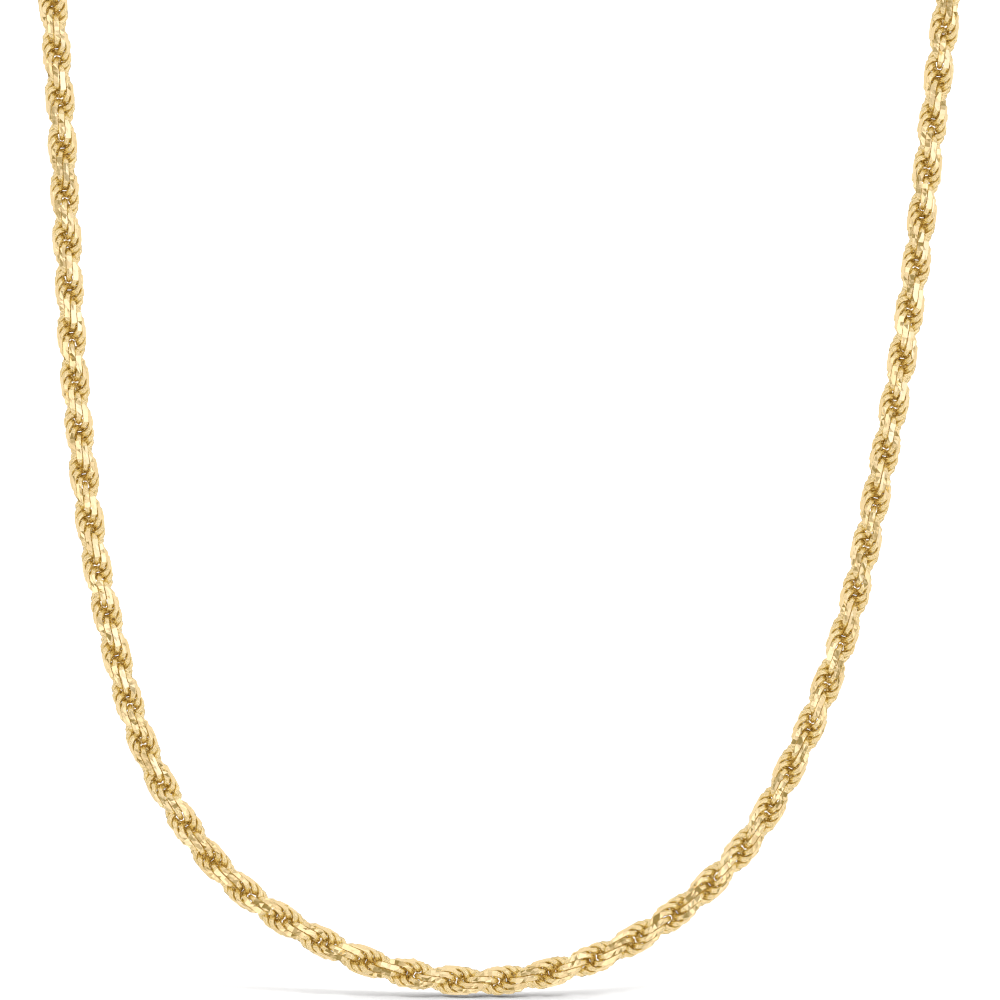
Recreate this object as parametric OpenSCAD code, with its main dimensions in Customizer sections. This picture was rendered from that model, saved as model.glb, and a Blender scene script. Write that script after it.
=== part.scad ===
// Diamond-cut rope chain necklace, about 610 mm (24 inches) round, closed by a barrel clasp at the nape.
// +Z is up, the front faces -Y, and the origin is the middle of the clasp, which lies on the nape.
// The chain's body is the round envelope that the twisted links fill.

/* [Chain] */
// Width of the chain across the corners of its cut links
chain_d = 4; // [3:0.1:5]
// Sides of the chain's round body
chain_sides = 12; // [8:1:12]
// Longest step between two rings of the chain's body
ring_pitch = 10; // [9:0.5:12]

/* [Clasp] */
// Length of the barrel along the chain
clasp_len = 14; // [12:0.5:18]
// Wall of the barrel round the chain's end
clasp_wall = 0.8; // [0.5:0.1:1.5]
// Depth of the socket that takes each end of the chain
socket_depth = 4; // [3:0.25:5]
// Clearance between the chain and its socket, at the side and at the end
chain_clearance = 0.3; // [0.1:0.05:0.5]
// Radius of the barrel's rounded ends
clasp_round = 0.5; // [0.2:0.1:0.5]
// Width of the seam round the barrel's middle
seam_w = 0.6; // [0.3:0.1:1]
// Depth of the seam
seam_depth = 0.3; // [0.1:0.05:0.5]

/* [Hidden] */
$fn = 64;

chain_r = chain_d / 2;
socket_r = chain_r + chain_clearance;
clasp_r = socket_r + clasp_wall;
// Distance from the clasp's middle to each end of the chain
end_x = clasp_len / 2 - socket_depth + chain_clearance;
// Upright plane that the front of the necklace hangs in
front_y = -85;

// The chain's centre line, from one end in the clasp to the other
route = [
    // round the neck to the collar bone
    [-end_x, 0, 0], [-10, 0, 0], [-22, -3, -1], [-36, -12, -3], [-48, -24, -5.5], [-57, -39, -8],
    [-62.5, -56, -11], [-64.5, -69, -13.5], [-65, -76, -17.5], [-65, -82, -25],
    // down the front
    [-64, front_y, -34], [-63, front_y, -47], [-62, front_y, -66], [-60.5, front_y, -92],
    [-56.5, front_y, -121], [-48, front_y, -147.5], [-39.5, front_y, -159.5], [-28, front_y, -168],
    [-15, front_y, -173.5], [-1, front_y, -175], [13, front_y, -172], [25.5, front_y, -165],
    // and up again
    [35.5, front_y, -155], [42.5, front_y, -142.5], [48, front_y, -129], [54.5, front_y, -102],
    [59, front_y, -76], [61.5, front_y, -55], [64, front_y, -34],
    // back to the clasp
    [65, -82, -25], [65, -76, -17.5], [64.5, -69, -13.5], [62.5, -56, -11],
    [57, -39, -8], [48, -24, -5.5], [36, -12, -3], [22, -3, -1], [10, 0, 0], [end_x, 0, 0]
];
spans = len(route) - 1;

function chord(i) = norm(route[i + 1] - route[i]);
function heading(i) = (route[i + 1] - route[i]) / chord(i);

// Direction of the curve at a route point: its two chords' headings, the shorter chord's weighing more
function pull(i) =
    i == 0 ? heading(0) :
    i == spans ? heading(spans - 1) :
    (heading(i - 1) * chord(i) + heading(i) * chord(i - 1)) / (chord(i - 1) + chord(i));

// Point of the smooth curve at share t of span i, and the direction there
function place(i, t) =
    (2 * pow(t, 3) - 3 * pow(t, 2) + 1) * route[i] + (3 * pow(t, 2) - 2 * pow(t, 3)) * route[i + 1]
    + chord(i) * ((pow(t, 3) - 2 * pow(t, 2) + t) * pull(i) + (pow(t, 3) - pow(t, 2)) * pull(i + 1));
function way(i, t) =
    let (v = 6 * (t - pow(t, 2)) * heading(i)
        + (3 * pow(t, 2) - 4 * t + 1) * pull(i) + (3 * pow(t, 2) - 2 * t) * pull(i + 1))
    v / norm(v);

// A ring's first spoke is the one before it, turned square to the curve
function squared(spoke, w) = let (s = spoke - (spoke * w) * w) s / norm(s);

stations = [
    for (i = [0 : spans - 1]) let (steps = ceil(chord(i) / ring_pitch))
        for (k = [0 : steps - 1]) [i, k / steps],
    [spans - 1, 1]
];
centres = [for (s = stations) place(s[0], s[1])];
ways = [for (s = stations) way(s[0], s[1])];
last = len(stations) - 1;
spokes = [for (i = 0, s = [0, 0, 1]; i <= last; i = i + 1, s = squared(s, ways[min(i, last)])) s];

module rope_chain() {
    n = chain_sides;
    ring_points = [
        for (i = [0 : last]) for (k = [0 : n - 1])
            centres[i] + chain_r * (cos(360 * k / n) * spokes[i] + sin(360 * k / n) * cross(ways[i], spokes[i]))
    ];
    walls = [
        for (i = [0 : last - 1]) for (k = [0 : n - 1]) let (a = i * n + k, b = i * n + (k + 1) % n)
            each [[a, a + n, b + n], [a, b + n, b]]
    ];
    ends = [[for (k = [0 : n - 1]) k], [for (k = [0 : n - 1]) last * n + n - 1 - k]];
    color("gold") polyhedron(points = ring_points, faces = concat(walls, ends));
}

// A solid barrel with a socket in each end and a seam where its two halves meet
module clasp() {
    color("goldenrod") rotate([0, 90, 0]) rotate_extrude() difference() {
        clasp_outline();
        for (end = [-1, 1]) translate([0, end * (clasp_len - socket_depth)])
            square([2 * socket_r, clasp_len], center = true);
        translate([clasp_r, 0]) square([2 * seam_depth, seam_w], center = true);
    }
}

// Half of the barrel's lengthwise section
module clasp_outline() {
    flat = clasp_len / 2 - clasp_round;
    for (end = [-1, 1]) translate([clasp_r - clasp_round, end * flat]) circle(clasp_round);
    translate([0, -clasp_len / 2]) square([clasp_r - clasp_round, clasp_len]);
    translate([0, -flat]) square([clasp_r, 2 * flat]);
}

rope_chain();
clasp();
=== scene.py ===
import bpy
import numpy as np
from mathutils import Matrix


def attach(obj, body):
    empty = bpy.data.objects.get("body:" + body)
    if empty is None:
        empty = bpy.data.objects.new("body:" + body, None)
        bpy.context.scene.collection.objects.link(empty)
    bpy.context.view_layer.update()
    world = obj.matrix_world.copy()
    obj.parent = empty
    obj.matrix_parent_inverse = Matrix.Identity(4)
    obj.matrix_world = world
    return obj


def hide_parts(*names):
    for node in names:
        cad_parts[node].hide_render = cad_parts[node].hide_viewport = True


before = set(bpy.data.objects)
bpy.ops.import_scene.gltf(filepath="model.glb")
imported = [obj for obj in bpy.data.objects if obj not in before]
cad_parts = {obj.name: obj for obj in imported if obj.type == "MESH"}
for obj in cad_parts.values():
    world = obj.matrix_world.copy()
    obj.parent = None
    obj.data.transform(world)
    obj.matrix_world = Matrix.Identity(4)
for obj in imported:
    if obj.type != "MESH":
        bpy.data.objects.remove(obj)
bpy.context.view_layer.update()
mm = 0.001
print("frame loaded, nodes:", ", ".join(sorted(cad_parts)))

# Camera: long lens, level, looking along +Y at the front of the necklace
shot = {
    "pixelsPerMm": 7.0,      # scale of the photo at the chain's front plane
    "pixels": 1000,
    "frontY": -85 * mm,      # front plane of the chain
    "distance": 1.5,
    "centreZ": -106.3 * mm,
    "sensor": 36.0,
    "clip": (0.05, 20.0),
}


def placeCamera(s):
    data = bpy.data.cameras.new("camera")
    seen = s["pixels"] / s["pixelsPerMm"] * mm
    data.sensor_width = s["sensor"]
    data.lens = s["sensor"] * s["distance"] / seen
    data.clip_start, data.clip_end = s["clip"]
    camera = bpy.data.objects.new("camera", data)
    camera.location = (0, s["frontY"] - s["distance"], s["centreZ"])
    camera.rotation_euler = (np.pi / 2, 0, 0)
    bpy.context.collection.objects.link(camera)
    bpy.context.scene.camera = camera


placeCamera(shot)
print("camera placed")

# The chain's centre line, the same points as in the part's source
frontY = shot["frontY"] / mm
claspEnd = 3.3
routePoints = [
    (-claspEnd, 0, 0), (-10, 0, 0), (-22, -3, -1), (-36, -12, -3), (-48, -24, -5.5), (-57, -39, -8),
    (-62.5, -56, -11), (-64.5, -69, -13.5), (-65, -76, -17.5), (-65, -82, -25),
    (-64, frontY, -34), (-63, frontY, -47), (-62, frontY, -66), (-60.5, frontY, -92),
    (-56.5, frontY, -121), (-48, frontY, -147.5), (-39.5, frontY, -159.5), (-28, frontY, -168),
    (-15, frontY, -173.5), (-1, frontY, -175), (13, frontY, -172), (25.5, frontY, -165),
    (35.5, frontY, -155), (42.5, frontY, -142.5), (48, frontY, -129), (54.5, frontY, -102),
    (59, frontY, -76), (61.5, frontY, -55), (64, frontY, -34),
    (65, -82, -25), (65, -76, -17.5), (64.5, -69, -13.5), (62.5, -56, -11),
    (57, -39, -8), (48, -24, -5.5), (36, -12, -3), (22, -3, -1), (10, 0, 0), (claspEnd, 0, 0),
]


def unit(v):
    return v / np.linalg.norm(v, axis=-1, keepdims=True)


def smoothRoute(points, perSpan):
    # Cubic spans; the direction at a point is its two chords' headings, the shorter chord weighing more
    points = np.array(points, float) * mm
    chord = np.linalg.norm(np.diff(points, axis=0), axis=1)[:, None]
    heading = np.diff(points, axis=0) / chord
    pull = np.vstack([
        heading[:1],
        (heading[:-1] * chord[1:] + heading[1:] * chord[:-1]) / (chord[:-1] + chord[1:]),
        heading[-1:],
    ])
    t = (np.arange(perSpan) / perSpan)[None, :, None]
    start, end = points[:-1, None], points[1:, None]
    leave, arrive = pull[:-1, None], pull[1:, None]
    curve = (2 * t**3 - 3 * t**2 + 1) * start + (3 * t**2 - 2 * t**3) * end
    curve = curve + chord[:, None] * ((t**3 - 2 * t**2 + t) * leave + (t**3 - t**2) * arrive)
    return np.vstack([curve.reshape(-1, 3), points[-1:]])


def alongCurve(curve):
    # Lengths of the curve's steps, the arc length at each of its points, and the way that it runs there
    steps = np.linalg.norm(np.diff(curve, axis=0), axis=1)
    arcOf = np.concatenate([[0], np.cumsum(steps)])
    return steps, arcOf, unit(np.gradient(curve, arcOf, axis=0))


def framesAt(curve, arcs, middle):
    # Point, way along the rope, spoke away from the loop's middle, and the third axis, at each arc length
    steps, arcOf, ways = alongCurve(curve)
    point = np.stack([np.interp(arcs, arcOf, curve[:, k]) for k in range(3)], axis=1)
    way = unit(np.stack([np.interp(arcs, arcOf, ways[:, k]) for k in range(3)], axis=1))
    spoke = point - np.array(middle)
    spoke = unit(spoke - (spoke * way).sum(1, keepdims=True) * way)
    return point, way, spoke, np.cross(way, spoke), arcOf[-1]


# The links: open rings of oval wire, about 6.6 to each half turn of the rope, cut flat on eight sides once
# they are twisted into it
rope = {
    "perSpan": 64,            # points of the centre line to each span of the route
    "spacing": 1.014 * mm,    # from link to link
    "ring": 2.168 * mm,       # radius of a link, to the middle of its wire
    "wire": 0.846 * mm,       # width of the wire
    "outer": 0.429 * mm,      # depth of the wire, from its middle outwards
    "inner": 0.572 * mm,      # and inwards
    "opening": 1.46 * mm,     # gap between the two ends of a link's wire
    "hand": -1,               # left-handed twist
    "flats": 8,               # diamond-cut flats round the rope
    "firstFlat": 22.5,        # degrees from the spoke to the middle of a flat
    "across": 3.86 * mm,      # width across two opposite flats
    "cutTilt": 2.6,           # degrees that a flat may lean from link to link
    "cutSeed": 3,
    "sides": 6,               # corners of the wire's section
    "play": 0.2,              # degrees that a link may have shifted since it was cut
    "playSeed": 7,
    "toneSeed": 11,
    "loopMiddle": (0, -85 * mm, -60 * mm),
    # where the twist lies, as millimetres along the rope and half turns: it is a little tighter at the left
    "twist": [(134.8, 0), (208.8, 11), (267.2, 20), (367.3, 35), (462.6, 49)],
    "halfTurn": 6.69,         # millimetres, beyond the ends of that list
    "endSpace": 2.45 * mm,    # from the rope's end to the middle of its last link
    "inset": 0.315 * mm,      # the links lie evenly this far inside the middle of a bend
    # stations round a link, in hundredths of the way from one end of its wire to the other
    "stations": [0, 6, 12, 17, 22, 27, 33, 39, 46, 54, 61, 67, 73, 78, 83, 88, 94, 100],
}


def linkPlaces(r, curve):
    # Even steps along the rope, each counted as (1 - inset * bend) of its length, and the half turns there
    steps, arcOf, ways = alongCurve(curve)
    bend = np.linalg.norm(np.gradient(ways, arcOf, axis=0), axis=1)
    packed = np.concatenate([[0], np.cumsum(steps * (1 - r["inset"] * (bend[1:] + bend[:-1]) / 2))])
    usable = packed[-1] - 2 * r["endSpace"]
    count = int(round(usable / r["spacing"])) + 1
    arcs = np.interp(r["endSpace"] + np.linspace(0, usable, count), packed, arcOf)
    marks, turns = np.array(r["twist"], float).T
    before, after = marks[0], arcOf[-1] / mm - marks[-1]
    marks = np.concatenate([[0], marks, [arcOf[-1] / mm]])
    first, last = turns[0] - before / r["halfTurn"], turns[-1] + after / r["halfTurn"]
    turns = np.concatenate([[first], turns, [last]])
    return arcs, np.interp(arcs / mm, marks, turns)


def linkShapes(r, index, turns):
    # Ring: radius * (cos t * side + sin t * axis). Round each point of it, a section is drawn by its angle
    # psi, from outwards to across. The section's reach is that of two half ellipses,
    # 1 / hypot(cos psi / depth, sin psi / (width / 2)), or less where a face of the eight-sided prism round
    # the rope comes first: (distance to that face) / cos(psi - lean of that face).
    phi = r["hand"] * np.pi * turns[:, None]
    zero = np.zeros_like(phi)
    side = np.stack([-np.sin(phi), np.cos(phi), zero], axis=-1)
    across = np.stack([np.cos(phi), np.sin(phi), zero], axis=-1)
    axis = np.array([0.0, 0.0, 1.0])
    gapAt = np.where(index % 2 == 0, np.pi / 2, 3 * np.pi / 2)[:, None]
    halfGap = r["opening"] / 2 / r["ring"]
    t = gapAt + halfGap + (2 * np.pi - 2 * halfGap) * np.array(r["stations"])[None, :] / 100
    cosT, sinT = np.cos(t)[..., None], np.sin(t)[..., None]
    out = cosT * side + sinT * axis
    step = 2 * np.pi / r["flats"]
    azimuth = phi + np.pi / 2 + np.where(np.cos(t) > 0, 0, np.pi)
    place = (azimuth - np.radians(r["firstFlat"])) / step
    nearest = np.round(place)
    second = nearest + np.where(place > nearest, 1, -1)
    flatAt = np.stack([nearest, second])
    chance = np.random.default_rng(r["cutSeed"])
    leans = np.radians(chance.uniform(-r["cutTilt"], r["cutTilt"], (2, len(index), r["flats"])))
    row = np.broadcast_to(np.arange(len(index))[:, None], t.shape)
    tilt, swing = leans[:, row, flatAt.astype(int) % r["flats"]]
    flatAt = np.radians(r["firstFlat"]) + step * flatAt + swing
    level = np.cos(tilt)
    flatWay = np.stack([np.cos(flatAt) * level, np.sin(flatAt) * level, np.sin(tilt)], axis=-1)
    alongOut = (flatWay * out).sum(-1)
    alongAcross = (flatWay * across).sum(-1)
    steep = np.hypot(alongOut, alongAcross)
    lean = np.arctan2(alongAcross, alongOut)
    tiny = 1e-6
    room = (r["across"] / 2 - r["ring"] * alongOut) / np.maximum(steep, tiny)
    half = np.arccos(np.clip(room / r["outer"], -1, 1))
    hit = room < r["outer"]
    least = np.pi / r["sides"]
    upper = np.maximum(np.where(hit, lean + half, -np.inf).max(0), 2 * least)
    lower = np.minimum(np.where(hit, lean - half, np.inf).min(0), -2 * least)
    # the ridge between two faces, where it runs through the section
    ridgeAt = flatAt.mean(0)
    ridge = r["across"] / 2 / np.cos(step / 2)
    ridgeOut = ridge * np.cos(ridgeAt - azimuth) / np.maximum(np.abs(np.cos(t)), tiny) - r["ring"]
    ridgeAcross = ridge * np.cos(ridgeAt - phi)
    onRidge = hit.all(0) & (np.hypot(ridgeOut, ridgeAcross) < r["outer"])
    middle = np.where(onRidge, np.arctan2(ridgeAcross, ridgeOut), (upper + lower) / 2)
    k = np.arange(r["sides"] - 1) / (r["sides"] - 2)
    psi = upper[..., None] + (lower + 2 * np.pi - upper)[..., None] * k
    psi = np.concatenate([middle[..., None], psi], axis=-1)
    # a corner that doesn't face the cut, or only grazes it, isn't cut
    facing = np.cos(psi - lean[..., None])
    grazing = 1e-3
    cutReach = np.where(facing > grazing, room[..., None] / np.maximum(facing, grazing), np.inf).min(0)
    depth = np.where(np.cos(psi) > 0, r["outer"], r["inner"])
    wireReach = 1 / np.hypot(np.cos(psi) / depth, np.sin(psi) / (r["wire"] / 2))
    reach = np.clip(cutReach, -wireReach, wireReach)[..., None]
    section = np.cos(psi)[..., None] * out[:, :, None] + np.sin(psi)[..., None] * across[:, :, None]
    shape = r["ring"] * out[:, :, None] + reach * section
    isCut = (hit & (half > least)).any(0)
    return rocked(r, index, shape), isCut


def rocked(r, index, shape):
    # Small turn of each link about its own middle: shape + turn x shape
    chance = np.random.default_rng(r["playSeed"])
    turn = np.radians(chance.uniform(-r["play"], r["play"], (len(index), 3)))
    return shape + np.cross(turn[:, None, None], shape)


def linkFaces(shape):
    # Quads between neighbouring sections, and one face on each end of the wire
    links, stations, sides = shape
    i, j, k = np.meshgrid(np.arange(links), np.arange(stations - 1), np.arange(sides), indexing="ij")
    near = (i * stations + j) * sides
    far = near + sides
    k2 = (k + 1) % sides
    quads = np.stack([near + k, far + k, far + k2, near + k2], axis=-1).reshape(-1, 4)
    start = (np.arange(links) * stations * sides)[:, None] + np.arange(sides)
    end = start[:, ::-1] + (stations - 1) * sides
    return quads, np.concatenate([start, end])


def meshFromArrays(name, points, quads, caps, smooth, material):
    mesh = bpy.data.meshes.new(name)
    mesh.vertices.add(len(points))
    mesh.vertices.foreach_set("co", points.ravel().astype(np.float32))
    loops = np.concatenate([quads.ravel(), caps.ravel()])
    totals = np.concatenate([np.full(len(quads), 4), np.full(len(caps), caps.shape[1])])
    mesh.loops.add(len(loops))
    mesh.loops.foreach_set("vertex_index", loops.astype(np.int32))
    mesh.polygons.add(len(totals))
    mesh.polygons.foreach_set("loop_start", (np.cumsum(totals) - totals).astype(np.int32))
    mesh.polygons.foreach_set("use_smooth", smooth)
    mesh.polygons.foreach_set("material_index", material.astype(np.int32))
    mesh.update(calc_edges=True)
    mesh.validate()
    piece = bpy.data.objects.new(name, mesh)
    bpy.context.collection.objects.link(piece)
    return piece


def buildLinks(name, r, index, turns, frames):
    point, way, spoke, third = frames
    local, isCut = linkShapes(r, index, turns)
    axes = np.stack([spoke, third, way], axis=1)
    world = point[:, None, None] + np.einsum("nmkc,ncd->nmkd", local, axes)
    quads, caps = linkFaces(local.shape[:3])
    isFlat = np.zeros(local.shape[:3], bool)[:, :-1]
    isFlat[:, :, [0, -1]] = (isCut[:, :-1] & isCut[:, 1:])[..., None]
    flats = np.concatenate([isFlat.ravel(), np.zeros(len(caps), bool)])
    smooth = ~flats
    smooth[len(quads):] = False
    piece = meshFromArrays(name, world.reshape(-1, 3), quads, caps, smooth, flats)
    # one number for each link, from 0 to 1, that its colour follows
    tone = np.random.default_rng(r["toneSeed"]).uniform(0, 1, len(index))
    layer = piece.data.attributes.new("tone", "FLOAT", "POINT")
    layer.data.foreach_set("value", np.repeat(tone, local.shape[1] * local.shape[2]).astype(np.float32))
    return piece


# Gold: polished metal; colour varies from link to link and from place to place, polish from place to place,
# over shallow dents. grain and dent are the scales of the noises, whose details are in clouds; the polish
# varies finer than the colour.
clouds = {"tintDetail": 3.0, "scuffDetail": 4.0, "scuffFiner": 4, "dentDetail": 1.0}
gold = {
    "wire": {
        "pale": (0.95, 0.87, 0.57), "deep": (0.89, 0.79, 0.48), "rough": (0.07, 0.18), "grain": 900.0,
        "byLink": 0.4, "dent": 900.0, "depth": 0.002 * mm,
    },
    "cut": {
        "pale": (0.96, 0.88, 0.62), "deep": (0.88, 0.75, 0.44), "rough": (0.03, 0.09), "grain": 500.0,
        "byLink": 0.6, "dent": 1000.0, "depth": 0.006 * mm,
    },
    "clasp": {
        "pale": (0.95, 0.81, 0.48), "deep": (0.90, 0.73, 0.38), "rough": (0.12, 0.26), "grain": 700.0,
        "byLink": 0.0, "dent": 500.0, "depth": 0.004 * mm,
    },
}


def cloudNode(nodes, links, place, scale, detail):
    cloud = nodes.new("ShaderNodeTexNoise")
    cloud.inputs["Scale"].default_value = scale
    cloud.inputs["Detail"].default_value = detail
    links.new(place.outputs["Object"], cloud.inputs["Vector"])
    return cloud


def goldMaterial(name, look):
    material = bpy.data.materials.new(name)
    material.use_nodes = True
    nodes, links = material.node_tree.nodes, material.node_tree.links
    shader = nodes["Principled BSDF"]
    shader.inputs["Metallic"].default_value = 1.0
    place = nodes.new("ShaderNodeTexCoord")
    cloud = cloudNode(nodes, links, place, look["grain"], clouds["tintDetail"])
    mixed = cloud.outputs["Fac"]
    if look["byLink"]:
        tone = nodes.new("ShaderNodeAttribute")
        tone.attribute_name = "tone"
        share = nodes.new("ShaderNodeMix")
        share.inputs["Factor"].default_value = look["byLink"]
        links.new(mixed, share.inputs["A"])
        links.new(tone.outputs["Fac"], share.inputs["B"])
        mixed = share.outputs["Result"]
    tint = nodes.new("ShaderNodeMix")
    tint.data_type = "RGBA"
    tint.inputs["A"].default_value = (*look["pale"], 1)
    tint.inputs["B"].default_value = (*look["deep"], 1)
    links.new(mixed, tint.inputs["Factor"])
    links.new(tint.outputs["Result"], shader.inputs["Base Color"])
    scuff = cloudNode(nodes, links, place, look["grain"] * clouds["scuffFiner"], clouds["scuffDetail"])
    polish = nodes.new("ShaderNodeMapRange")
    smoothest, roughest = look["rough"]
    polish.inputs["To Min"].default_value = smoothest
    polish.inputs["To Max"].default_value = roughest
    links.new(scuff.outputs["Fac"], polish.inputs["Value"])
    links.new(polish.outputs["Result"], shader.inputs["Roughness"])
    dents = cloudNode(nodes, links, place, look["dent"], clouds["dentDetail"])
    bump = nodes.new("ShaderNodeBump")
    bump.inputs["Distance"].default_value = look["depth"]
    links.new(dents.outputs["Fac"], bump.inputs["Height"])
    links.new(bump.outputs["Normal"], shader.inputs["Normal"])
    return material


goldWire = goldMaterial("goldWire", gold["wire"])
goldCut = goldMaterial("goldCut", gold["cut"])
goldClasp = goldMaterial("goldClasp", gold["clasp"])

curve = smoothRoute(routePoints, rope["perSpan"])
arcs, turns = linkPlaces(rope, curve)
index = np.arange(len(arcs))
point, way, spoke, third, length = framesAt(curve, arcs, rope["loopMiddle"])
middle = len(index) // 2
halves = {"rope_links_left": slice(0, middle), "rope_links_right": slice(middle, None)}
for name, part in halves.items():
    frames = (point[part], way[part], spoke[part], third[part])
    piece = buildLinks(name, rope, index[part], turns[part], frames)
    piece.data.materials.append(goldWire)
    piece.data.materials.append(goldCut)
    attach(piece, "root")
    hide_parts("rope_chain")
print("links:", len(index), "on a rope of", round(length / mm, 1), "mm")

claspPiece = bpy.data.objects["clasp"]
claspPiece.data.materials.clear()
claspPiece.data.materials.append(goldClasp)
print("clasp finished")

# Floor and backdrop in one white sweep, just below the lowest link; a short ramp there tilts the chain's
# shadow into view
sweep = {
    "floorZ": -177.25 * mm,        # the floor under the chain's front plane
    "underY": -85 * mm,
    "slope": 8.0,                  # degrees that the ramp rises
    "ramp": (30 * mm, 20 * mm),    # its length before and behind the chain
    "fade": 15 * mm,               # over which its slope comes and goes
    "rampSteps": 41,
    "front": -4.0,
    "back": 2.8,
    "bend": 0.6,                   # radius between floor and wall
    "bendSteps": 24,
    "top": 3.0,
    "half": 4.0,                   # half the width
    "white": 0.9,
    "rough": 0.9,
}


def buildSweep(s):
    # Level floor, a ramp whose slope fades in and out, level floor, an arc and a wall, all carried sideways
    before, after = s["ramp"]
    y = s["underY"] + np.linspace(-before - s["fade"], after + s["fade"], s["rampSteps"])
    share = np.clip((y - y[0]) / s["fade"], 0, 1) * np.clip((y[-1] - y) / s["fade"], 0, 1)
    rise = np.tan(np.radians(s["slope"])) * (share[1:] + share[:-1]) / 2 * np.diff(y)
    z = np.concatenate([[0], np.cumsum(rise)])
    z = s["floorZ"] + z - np.interp(s["underY"], y, z)
    turn = np.linspace(0, np.pi / 2, s["bendSteps"])
    bendY = s["back"] + s["bend"] * np.sin(turn)
    bendZ = z[-1] + s["bend"] * (1 - np.cos(turn))
    y = np.concatenate([[s["front"]], y, bendY, [bendY[-1]]])
    z = np.concatenate([[z[0]], z, bendZ, [s["top"]]])
    x = np.array([-s["half"], s["half"]])
    points = np.stack([np.repeat(x, len(y)), np.tile(y, 2), np.tile(z, 2)], axis=1)
    k = np.arange(len(y) - 1)
    faces = np.stack([k, k + len(y), k + len(y) + 1, k + 1], axis=1)
    mesh = bpy.data.meshes.new("sweep")
    mesh.from_pydata(points.tolist(), [], faces.tolist())
    mesh.polygons.foreach_set("use_smooth", [True] * len(faces))
    board = bpy.data.objects.new("sweep", mesh)
    bpy.context.collection.objects.link(board)
    paper = bpy.data.materials.new("paper")
    paper.use_nodes = True
    shader = paper.node_tree.nodes["Principled BSDF"]
    shader.inputs["Base Color"].default_value = (s["white"], s["white"], s["white"], 1)
    shader.inputs["Roughness"].default_value = s["rough"]
    mesh.materials.append(paper)
    board.visible_glossy = False    # the gold reflects the tent instead


buildSweep(sweep)

# Studio: soft boxes and the room light the floor and backdrop. Brightness is what a lamp itself would show
# in the picture, 1 being white.
room = {"colour": (1.0, 1.0, 1.0), "brightness": 0.55, "inPicture": 1.0}
boxes = {
    "key": {"at": (0.45, -0.75, 0.75), "aim": (-0.01, -0.085, -0.175), "size": 0.35, "brightness": 15.0},
    "ceiling": {"at": (0, 0.4, 2.4), "aim": (0, 0.4, 0.0), "size": 6.0, "brightness": 0.85},
    "wallLeft": {"at": (-1.8, 1.8, 1.2), "aim": (0, 3.4, 0.0), "size": 1.0, "brightness": 8.0},
    "wallRight": {"at": (1.8, 1.8, 1.2), "aim": (0, 3.4, 0.0), "size": 1.0, "brightness": 8.0},
}


def softBox(name, b):
    data = bpy.data.lights.new(name, "AREA")
    data.shape = "SQUARE"
    data.size = b["size"]
    data.energy = b["brightness"] * np.pi * data.size**2
    lamp = bpy.data.objects.new(name, data)
    lamp.location = b["at"]
    away = unit(np.array(b["at"]) - np.array(b["aim"]))
    lamp.rotation_euler = (np.arccos(away[2]), 0, np.arctan2(away[1], away[0]) + np.pi / 2)
    lamp.visible_camera = False
    lamp.visible_glossy = False
    bpy.context.collection.objects.link(lamp)


for name, box in boxes.items():
    softBox(name, box)
world = bpy.data.worlds.new("room")
bpy.context.scene.world = world
world.use_nodes = True
world.cycles_visibility.glossy = False    # the gold reflects the tent instead
background = world.node_tree.nodes["Background"]
background.inputs["Color"].default_value = (*room["colour"], 1)
ray = world.node_tree.nodes.new("ShaderNodeLightPath")
level = world.node_tree.nodes.new("ShaderNodeMapRange")
level.inputs["To Min"].default_value = room["brightness"]
level.inputs["To Max"].default_value = room["inPicture"]
world.node_tree.links.new(ray.outputs["Is Camera Ray"], level.inputs["Value"])
world.node_tree.links.new(level.outputs["Result"], background.inputs["Strength"])

# Light tent that only the metal reflects: dim and light patches, then wide spots over them. A spot's place
# is in degrees to the right of the camera and up from level, and it fades out from its inner to its outer
# half width.
tent = {
    "radius": 0.9,
    "centre": (0, -0.085, -0.10),
    "meridians": 48,
    "parallels": 25,
    "poleGap": 0.02,              # radians left open at either pole
    "patchSize": 0.085,
    "patchDetail": 1.0,
    "patchEdge": (0.38, 0.60),    # noise up to the first value is dim, from the second on it is light
    "dim": (0.36, 0.28, 0.12),
    "light": (1.45, 1.25, 1.11),
    "spots": {
        "right": {"across": 47, "up": 4, "inner": 5, "outer": 15, "colour": (1.40, 1.30, 1.32)},
        "back": {"across": 180, "up": 10, "inner": 40, "outer": 75, "colour": (1.03, 0.88, 0.71)},
    },
}


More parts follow.
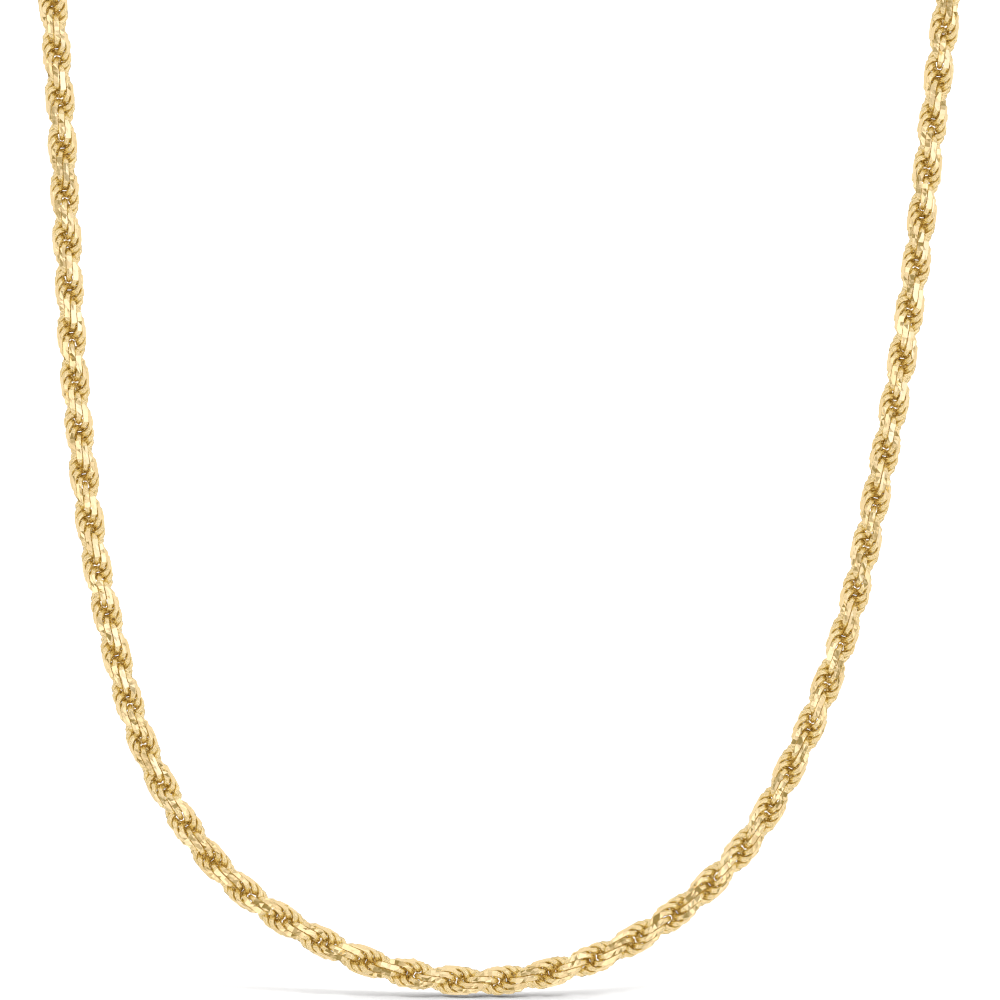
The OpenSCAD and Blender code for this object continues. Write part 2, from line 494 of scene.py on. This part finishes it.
def tentMaterial(t):
    material = bpy.data.materials.new("tentLight")
    material.use_nodes = True
    nodes, links = material.node_tree.nodes, material.node_tree.links
    nodes.clear()
    place = nodes.new("ShaderNodeTexCoord")
    cloud = cloudNode(nodes, links, place, 1 / t["patchSize"], t["patchDetail"])
    patch = nodes.new("ShaderNodeMapRange")
    allDim, allLight = t["patchEdge"]
    patch.inputs["From Min"].default_value = allDim
    patch.inputs["From Max"].default_value = allLight
    links.new(cloud.outputs["Fac"], patch.inputs["Value"])
    mixed = nodes.new("ShaderNodeMix")
    mixed.data_type = "RGBA"
    mixed.inputs["A"].default_value = (*t["dim"], 1)
    mixed.inputs["B"].default_value = (*t["light"], 1)
    links.new(patch.outputs["Result"], mixed.inputs["Factor"])
    way = nodes.new("ShaderNodeVectorMath")
    way.operation = "NORMALIZE"
    links.new(place.outputs["Object"], way.inputs[0])
    for spot in t["spots"].values():
        across, up = np.radians([spot["across"], spot["up"]])
        facing = nodes.new("ShaderNodeVectorMath")
        facing.operation = "DOT_PRODUCT"
        towards = (np.sin(across) * np.cos(up), -np.cos(across) * np.cos(up), np.sin(up))
        facing.inputs[1].default_value = towards
        links.new(way.outputs["Vector"], facing.inputs[0])
        fade = nodes.new("ShaderNodeMapRange")
        fade.interpolation_type = "SMOOTHSTEP"
        fade.inputs["From Min"].default_value = np.cos(np.radians(spot["outer"]))
        fade.inputs["From Max"].default_value = np.cos(np.radians(spot["inner"]))
        links.new(facing.outputs["Value"], fade.inputs["Value"])
        over = nodes.new("ShaderNodeMix")
        over.data_type = "RGBA"
        over.inputs["B"].default_value = (*spot["colour"], 1)
        links.new(mixed.outputs["Result"], over.inputs["A"])
        links.new(fade.outputs["Result"], over.inputs["Factor"])
        mixed = over
    glow = nodes.new("ShaderNodeEmission")
    links.new(mixed.outputs["Result"], glow.inputs["Color"])
    result = nodes.new("ShaderNodeOutputMaterial")
    links.new(glow.outputs["Emission"], result.inputs["Surface"])
    return material


def buildTent(t):
    # Ball: centre + radius * (sin v * cos u, sin v * sin u, cos v)
    across, down = t["meridians"], t["parallels"]
    u = np.linspace(0, 2 * np.pi, across, endpoint=False)
    v = np.linspace(t["poleGap"], np.pi - t["poleGap"], down)
    v, u = np.meshgrid(v, u, indexing="ij")
    points = t["radius"] * np.stack([np.sin(v) * np.cos(u), np.sin(v) * np.sin(u), np.cos(v)], axis=-1)
    row, column = np.meshgrid(np.arange(down - 1), np.arange(across), indexing="ij")
    top = row * across
    bottom = top + across
    column2 = (column + 1) % across
    faces = np.stack([top + column, top + column2, bottom + column2, bottom + column], axis=-1)
    mesh = bpy.data.meshes.new("tent")
    mesh.from_pydata(points.reshape(-1, 3).tolist(), [], faces.reshape(-1, 4).tolist())
    ball = bpy.data.objects.new("tent", mesh)
    ball.location = t["centre"]
    bpy.context.collection.objects.link(ball)
    mesh.materials.append(tentMaterial(t))
    ball.visible_camera = False
    ball.visible_diffuse = False
    ball.visible_shadow = False
    ball.visible_transmission = False


buildTent(tent)

# Picture: enough bounces for light to find its way between the links, and crisp pixels
picture = {"transform": "Standard", "glossyBounces": 12, "pixelWidth": 1.2}
bpy.context.scene.view_settings.view_transform = picture["transform"]
bpy.context.scene.cycles.glossy_bounces = picture["glossyBounces"]
bpy.context.scene.cycles.caustics_reflective = False    # the gold throws no light on the paper
bpy.context.scene.cycles.filter_width = picture["pixelWidth"]
print("studio lit")
